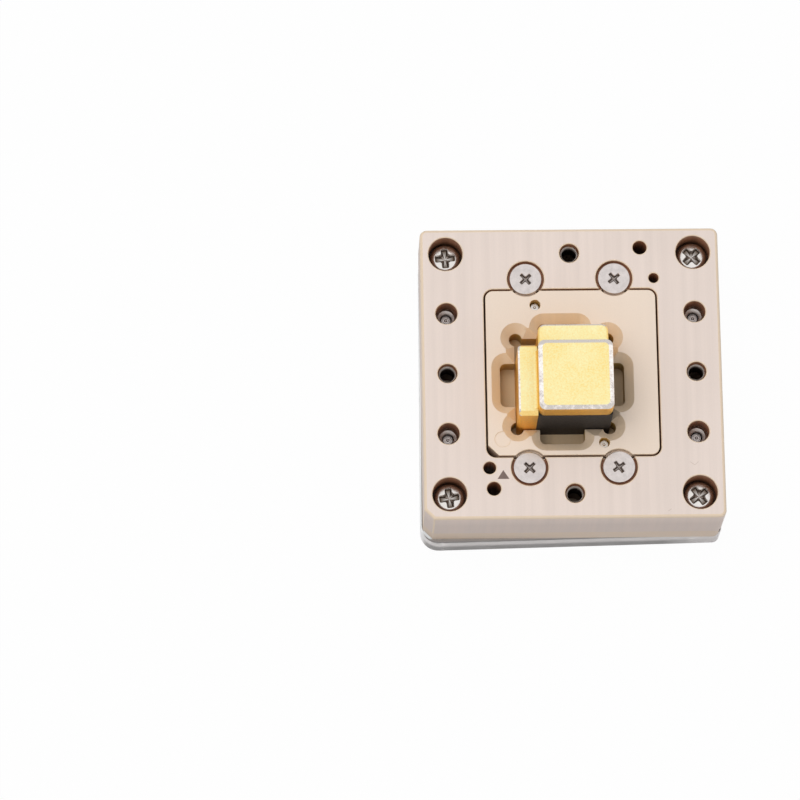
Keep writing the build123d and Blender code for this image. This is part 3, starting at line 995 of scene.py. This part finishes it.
class SOCKET_OT_retainer(bpy.types.Operator):
    """Makes the lower plate with its bores"""

    bl_idname = "socket.retainer"
    bl_label = "Retainer"

    def execute(self, context):
        detail = sizes()
        low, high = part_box("probe_retainer")
        corners = dict.fromkeys([(-1, 1), (1, 1), (1, -1)], (detail.plate_round, 8))
        corners[-1, -1] = (detail.plate_index_cut, 1)
        bm = square_plate(high.x - low.x, low.z, high.z, corners)
        bevel_rims(bm, detail.plate_edge)

        below, above = low.z - CUTTER_PAST, high.z + CUTTER_PAST
        hole = detail.thread_radius + detail.hole_clearance
        cutters = [
            (bore(hole, below, above), centre_at(box, 0)) for box in solid_boxes("corner_screws")
        ]
        for box in solid_boxes("retainer_screws"):
            seat = box[0].z + detail.retainer_head
            head = half_width(box) + detail.head_clearance
            stepped = [(0, below), (head, below), (head, seat)]
            stepped += [(hole, seat), (hole, above), (0, above)]
            cutters.append((turned(stepped), centre_at(box, 0)))
        cutters += bores(numbered_boxes("alignment_dowel"), 0, below, above)
        cutters += bores(numbered_boxes("probe_tail"), detail.probe_clearance, below, above)
        bm = drilled(bm, cutters)
        plastic = plastic_finish(
            "retainer_plastic", finishes().retainer, finishes().bore, streak_share=1.0,
            deep_shade_share=0.5,
        )
        nodes = ["probe_retainer"]
        finished_piece(bm, "retainer_plate", [plastic], "socket", nodes)
        return {"FINISHED"}


class SOCKET_OT_cover(bpy.types.Operator):
    """Makes the clear cover with its bores"""

    bl_idname = "socket.cover"
    bl_label = "Clear cover"

    def execute(self, context):
        detail = sizes()
        low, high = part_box("protective_cover")
        corners = dict.fromkeys([(-1, -1), (-1, 1), (1, -1), (1, 1)], (detail.cover_round, 6))
        corners[-1, -1] = (detail.cover_index_round, 10)
        body_low, body_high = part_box("socket_body")
        width, depth = high.x - low.x, body_high.y - body_low.y
        bm = square_plate(width, low.z, high.z - detail.cover_gap, corners)
        bmesh.ops.scale(bm, verts=bm.verts, vec=(1, depth / width, 1))
        for vert in bm.verts:
            x, y = vert.co.xy
            lean = y * math.tan(detail.cover_lean) if x < 0 else 0
            vert.co.x += detail.cover_shift + lean
            vert.co.y += x * math.tan(detail.cover_skew)
        bevel_rims(bm, detail.cover_edge)

        below, above = low.z - CUTTER_PAST, high.z + CUTTER_PAST
        screws = solid_boxes("corner_screws")
        skin = screws[0][0].z
        cutters = [
            (bore(detail.thread_radius, below, above), centre_at(box, 0)) for box in screws
        ]
        cutters += bores(numbered_boxes("alignment_dowel"), detail.head_clearance, skin, above)
        cutters.append(self.tail_room(detail, above))
        bm = drilled(bm, cutters)
        for face in bm.faces:
            middle = face.calc_center_median()
            outer = max(abs(middle.x) / high.x, abs(middle.y) / high.y) > detail.sawn_share
            face.material_index = int(outer and abs(face.normal.z) < 0.9)
        plastics = [clear_finish(), sawn_finish()]
        nodes = ["protective_cover"]
        finished_piece(bm, "clear_cover", plastics, "socket", nodes)
        return {"FINISHED"}

    def tail_room(self, detail, above):
        """Cutter of the room for the probe tails, with its place."""
        tails = box_round([corner for box in numbered_boxes("probe_tail") for corner in box])
        extent = tails[1] - tails[0] + Vector((2, 2, 0)) * detail.tail_margin
        extent.z = detail.tail_room + CUTTER_PAST
        room = bmesh.new()
        bmesh.ops.create_cube(room, size=1.0)
        bmesh.ops.scale(room, verts=room.verts, vec=extent)
        uprights = [edge for edge in room.edges if edge.verts[0].co.xy == edge.verts[1].co.xy]
        bevel(room, uprights, detail.plate_round, 6)
        return room, centre_at(tails, above - extent.z / 2)


class SOCKET_OT_module(bpy.types.Operator):
    """Dresses the module: black core, gold cover and bare bevels"""

    bl_idname = "socket.module"
    bl_label = "Module"

    def execute(self, context):
        detail = sizes()
        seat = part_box("module_core")[0].z

        def wanted(edge):
            return max(vert.co.z for vert in edge.verts) > seat + MM

        core = dressed_copy("module_core", detail.module_edge, wanted)
        black = core_finish()
        finished_piece(core, "module_core_block", [black], "nest", ["module_core"])

        low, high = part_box("module_cover")
        cover = dressed_copy("module_cover", detail.module_edge, wanted)
        side = cover.faces.layers.float.new("side")
        for face in cover.faces:
            middle, upward = face.calc_center_median(), face.normal.z
            on_cap = middle.z > high.z - detail.cap_bevel
            on_arm_edge = min(middle.x - low.x, high.y - middle.y) < detail.arm_edge
            bare = SLOPE_LOW < upward < SLOPE_HIGH and (on_cap or on_arm_edge)
            face.material_index = int(bare)
            # The side mark lays painted shade on the upright faces: darker gold where they reflect
            # darker surroundings
            face[side] = min(1, 1.8 * (1 - abs(upward)))
        metals = [gold_finish(), bare_metal_finish()]
        finished_piece(cover, "module_cap_cover", metals, "nest", ["module_cover"])
        return {"FINISHED"}


class SOCKET_OT_corner_screws(bpy.types.Operator):
    """Makes the pan-headed corner screws"""

    bl_idname = "socket.corner_screws"
    bl_label = "Corner screws"

    def execute(self, context):
        nickel = plated_finish("bright_nickel", finishes().nickel, roughness=0.2, spread=0.1)
        screw_set(
            "corner_screws", "corner_screw_set", nickel, "bright_nickel", sizes().corner_head,
            CORNER_TURNS, rim_width=0.62, rim_drop=0.85, dome=0.12, span=2.9, arm=1.06, depth=0.5,
        )
        return {"FINISHED"}


class SOCKET_OT_nest_screws(bpy.types.Operator):
    """Makes the flat-headed screws that hold the nest"""

    bl_idname = "socket.nest_screws"
    bl_label = "Nest screws"

    def execute(self, context):
        satin = plated_finish("satin_nickel", finishes().satin, roughness=0.36, spread=0.2)
        screw_set(
            "nest_screws", "nest_screw_set", satin, "satin_nickel", sizes().nest_head,
            NEST_TURNS, rim_width=0.16, rim_drop=0.1, dome=0.02, span=2.0, arm=0.56, depth=0.36,
        )
        return {"FINISHED"}


class SOCKET_OT_retainer_screws(bpy.types.Operator):
    """Makes the screws that point up through the retainer"""

    bl_idname = "socket.retainer_screws"
    bl_label = "Retainer screws"

    def execute(self, context):
        satin = plated_finish("satin_nickel", finishes().satin, roughness=0.36, spread=0.2)
        screw_set(
            "retainer_screws", "retainer_screw_set", satin, "satin_nickel", sizes().retainer_head,
            RETAINER_TURNS, head_down=True,
            rim_width=0.2, rim_drop=0.15, dome=0.02, span=1.95, arm=0.52, depth=0.45,
        )
        return {"FINISHED"}


class SOCKET_OT_inserts(bpy.types.Operator):
    """Winds the wire thread inserts"""

    bl_idname = "socket.inserts"
    bl_label = "Thread inserts"

    def execute(self, context):
        pitch, shade_depth = sizes().thread_pitch, 0.6 * MM
        half_wire = 0.46 * pitch
        for node, name, inner in (
            ("lid_thread_inserts", "lid_insert_set", sizes().lid_thread_radius),
            ("retainer_thread_inserts", "retainer_insert_set", sizes().thread_radius * 0.86),
        ):
            group = bmesh.new()
            for box in solid_boxes(node):
                outer = half_width(box)
                middle = (outer + inner) / 2
                section = [(inner, 0), (middle, -half_wire), (outer, 0), (middle, half_wire)]
                turns = (box[1].z - box[0].z - pitch) / pitch
                wire = coil(section, [(turns, pitch)])
                gather(group, wire, Matrix.Translation(centre_at(box, box[0].z + pitch / 2)))
            # Painted shade on the inserts below a depth under their top
            steel = wire_finish(name + "_steel", 0.36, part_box(node)[1].z - shade_depth)
            finished_piece(group, name, [steel], "socket", [node])
        return {"FINISHED"}


class SOCKET_OT_pins(bpy.types.Operator):
    """Turns the guide pins and the alignment dowels"""

    bl_idname = "socket.pins"
    bl_label = "Pins and dowels"

    def execute(self, context):
        steel = wire_finish("pin_steel", 0.28)
        for node in numbered("guide_pin") + numbered("alignment_dowel"):
            low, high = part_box(node)
            radius = (high.x - low.x) / 2
            bevel = 0.22 * radius
            outline = [
                (0, low.z),
                (radius - bevel, low.z),
                (radius, low.z + bevel),
                (radius, high.z - bevel),
                (radius - bevel, high.z),
                (0.3 * radius, high.z),
                (0.18 * radius, high.z - 0.08 * radius),
                (0, high.z - 0.12 * radius),
            ]
            bm = turned(outline)
            bmesh.ops.translate(bm, verts=bm.verts, vec=centre_at((low, high), 0))
            finished_piece(bm, node + "_turned", [steel], "socket", [node])
        return {"FINISHED"}


class SOCKET_OT_springs(bpy.types.Operator):
    """Winds the springs under the nest, each with a mesh of its own"""

    bl_idname = "socket.springs"
    bl_label = "Nest springs"

    def execute(self, context):
        steel = wire_finish("spring_steel", 0.3)
        travel = next(j for j in frame["joints"] if j["name"] == "nest_float")["range_m"]
        wire, turns, sides = 0.3 * MM, 2.0, 8
        for node in numbered("nest_spring"):
            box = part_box(node)
            low, height = box[0], box[1].z - box[0].z
            section = round_section(half_width(box), wire, low.z, sides)
            pitch = (height - 3 * wire) / turns
            bm = coil(section, [(1, wire), (turns, pitch), (1, wire)])
            bmesh.ops.translate(bm, verts=bm.verts, vec=centre_at(box, 0))
            piece = finished_piece(bm, node + "_wound", [steel], "socket", [node])
            keep = 1 - (max(travel) - min(travel)) / height
            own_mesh(piece)
        return {"FINISHED"}


class SOCKET_OT_probes(bpy.types.Operator):
    """Turns the spring probes: barrels, upper tips and lower tails"""

    bl_idname = "socket.probes"
    bl_label = "Spring probes"

    def execute(self, context):
        gold = probe_finish()
        for kind, body in (
            ("probe_barrel", "socket"), ("probe_tip", "probe_tips"), ("probe_tail", "probe_tails")
        ):
            hollow, point_down = kind == "probe_barrel", kind == "probe_tail"
            group = bmesh.new()
            for box in numbered_boxes(kind):
                low, high = box
                radius, length = (high.y - low.y) / 2, high.z - low.z
                outline = self.barrel(radius, length) if hollow else self.plunger(radius, length)
                place = Matrix.Translation(centre_at(box, high.z if point_down else low.z))
                if point_down:
                    place = place @ UPSIDE_DOWN
                gather(group, turned(outline, hollow), place)
            finished_piece(group, kind + "_set", [gold], body, numbered(kind))
        return {"FINISHED"}

    def barrel(self, radius, length):
        """Closed outline of a tube with a crimped neck."""
        inner = radius * 2 / 3
        neck = radius * 0.92
        return [
            (inner, 0), (radius, 0), (radius, length * 0.7), (neck, length * 0.73),
            (neck, length * 0.77), (radius, length * 0.8), (radius, length), (inner, length),
        ]

    def plunger(self, radius, length):
        """Outline of a plunger with a round foot and a blunt point."""
        point = 0.3 * MM
        return [
            (0, 0), (radius * 0.7, 0), (radius, radius * 0.3), (radius, length - point),
            (radius * 0.62, length - point * 0.45), (radius * 0.34, length), (0, length),
        ]


class SOCKET_OT_sign(bpy.types.Operator):
    """Prints the triangle beside pin 1"""

    bl_idname = "socket.sign"
    bl_label = "Pin 1 sign"

    def execute(self, context):
        detail = sizes()
        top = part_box("socket_body")[1].z
        bm = bmesh.new()
        bmesh.ops.create_circle(bm, cap_ends=True, radius=1.0, segments=3)
        low, high = box_round([vert.co for vert in bm.verts])
        bmesh.ops.translate(bm, verts=bm.verts, vec=-(low + high) / 2)
        fit = (detail.sign_width / (high.x - low.x), detail.sign_height / (high.y - low.y), 1)
        bmesh.ops.scale(bm, verts=bm.verts, vec=fit)
        thicken(bm, detail.sign_lift)
        bmesh.ops.translate(bm, verts=bm.verts, vec=(*SIGN_PLACE, top))
        finished_piece(bm, "pin_one_sign", [sign_finish()], "socket", [])
        return {"FINISHED"}


class SOCKET_OT_stage(bpy.types.Operator):
    """Sets the floor, the light and the camera"""

    bl_idname = "socket.stage"
    bl_label = "Stage"

    def execute(self, context):
        scene, settings = context.scene, stage_settings()
        scene.view_settings.view_transform = "Standard"
        self.lay_floor(settings.floor_glow)
        self.light_sky(scene, settings.sky)
        self.hang_soft_box("key_light", settings.key_power, KEY_PLACE)
        self.hang_soft_box("fill_light", settings.fill_power, FILL_PLACE)
        scene.camera = self.new_camera(settings)
        return {"FINISHED"}

    def lay_floor(self, glow):
        """Floor under the clear cover."""
        bm = bmesh.new()
        bmesh.ops.create_grid(bm, x_segments=1, y_segments=1, size=FLOOR_REACH)
        mesh = mesh_of(bm, "studio_floor")
        mesh.materials.append(floor_finish(glow))
        floor = new_object("studio_floor", mesh)
        floor.location.z = cad_box[0].z - FLOOR_DROP

    def light_sky(self, scene, even):
        """Even light, which shows as plain white to the camera and in reflections."""
        scene.world = bpy.data.worlds.new("studio_sky")
        sky = Finish(scene.world, "Background")
        sky.finish_surface(color=(1, 1, 1, 1), strength=sky.seen_directly() * (1 - even) + even)

    def hang_soft_box(self, name, power, place):
        """Square soft box that faces the socket."""
        light = bpy.data.lights.new(name, "AREA")
        light.energy = power
        light.size = SOFT_BOX_SIZE
        box = new_object(name, light)
        box.location = place
        box.rotation_euler = Vector(place).to_track_quat("Z", "Y").to_euler()
        box.visible_glossy = False

    def new_camera(self, settings):
        """Camera above the socket, turned about its line of sight."""
        e, a, r = settings.elevation, settings.azimuth, settings.roll
        back = Vector((math.sin(a) * math.cos(e), -math.cos(a) * math.cos(e), math.sin(e)))
        right = (-back).cross(Vector((0, 0, 1))).normalized()
        up = right.cross(-back)
        turned_right = right * math.cos(r) + up * math.sin(r)
        turned_up = up * math.cos(r) - right * math.sin(r)
        target = Vector((*settings.target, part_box("socket_body")[1].z))
        data = bpy.data.cameras.new("photo_camera")
        data.lens = settings.lens
        data.sensor_width = settings.sensor
        data.clip_start, data.clip_end = CLIP_NEAR, CLIP_FAR
        camera = new_object("photo_camera", data)
        turn = Matrix((turned_right, turned_up, back)).transposed().to_4x4()
        camera.matrix_world = Matrix.Translation(target + back * settings.distance) @ turn
        return camera


OPERATORS = (
    SOCKET_OT_body,
    SOCKET_OT_nest,
    SOCKET_OT_retainer,
    SOCKET_OT_cover,
    SOCKET_OT_module,
    SOCKET_OT_corner_screws,
    SOCKET_OT_nest_screws,
    SOCKET_OT_retainer_screws,
    SOCKET_OT_inserts,
    SOCKET_OT_pins,
    SOCKET_OT_springs,
    SOCKET_OT_probes,
    SOCKET_OT_sign,
    SOCKET_OT_stage,
)


class SOCKET_PT_panel(bpy.types.Panel):
    """Lists the socket's pieces and settings"""

    bl_idname = "SOCKET_PT_panel"
    bl_label = "Chip test socket"
    bl_space_type = "VIEW_3D"
    bl_region_type = "UI"
    bl_category = "Socket"

    def draw(self, context):
        for operator in OPERATORS:
            self.layout.operator(operator.bl_idname)
        for settings in (finishes(), sizes(), stage_settings()):
            box = self.layout.box()
            for name in settings.__annotations__:
                box.prop(settings, name)


CLASSES = (SOCKET_PG_finishes, SOCKET_PG_sizes, SOCKET_PG_stage, *OPERATORS, SOCKET_PT_panel)


def register():
    """Adds the classes and the scene's settings."""
    for each in CLASSES:
        bpy.utils.register_class(each)
    bpy.types.Scene.socket_finishes = PointerProperty(type=SOCKET_PG_finishes)
    bpy.types.Scene.socket_sizes = PointerProperty(type=SOCKET_PG_sizes)
    bpy.types.Scene.socket_stage = PointerProperty(type=SOCKET_PG_stage)


def unregister():
    """Takes the classes and the scene's settings away."""
    del bpy.types.Scene.socket_stage
    del bpy.types.Scene.socket_sizes
    del bpy.types.Scene.socket_finishes
    for each in reversed(CLASSES):
        bpy.utils.unregister_class(each)


def main():
    """Makes every piece and the stage."""
    register()
    bpy.ops.socket.body()
    bpy.ops.socket.nest()
    bpy.ops.socket.retainer()
    bpy.ops.socket.cover()
    bpy.ops.socket.module()
    bpy.ops.socket.corner_screws()
    bpy.ops.socket.nest_screws()
    bpy.ops.socket.retainer_screws()
    bpy.ops.socket.inserts()
    bpy.ops.socket.pins()
    bpy.ops.socket.springs()
    bpy.ops.socket.probes()
    bpy.ops.socket.sign()
    bpy.ops.socket.stage()


if __name__ == "__main__":
    main()
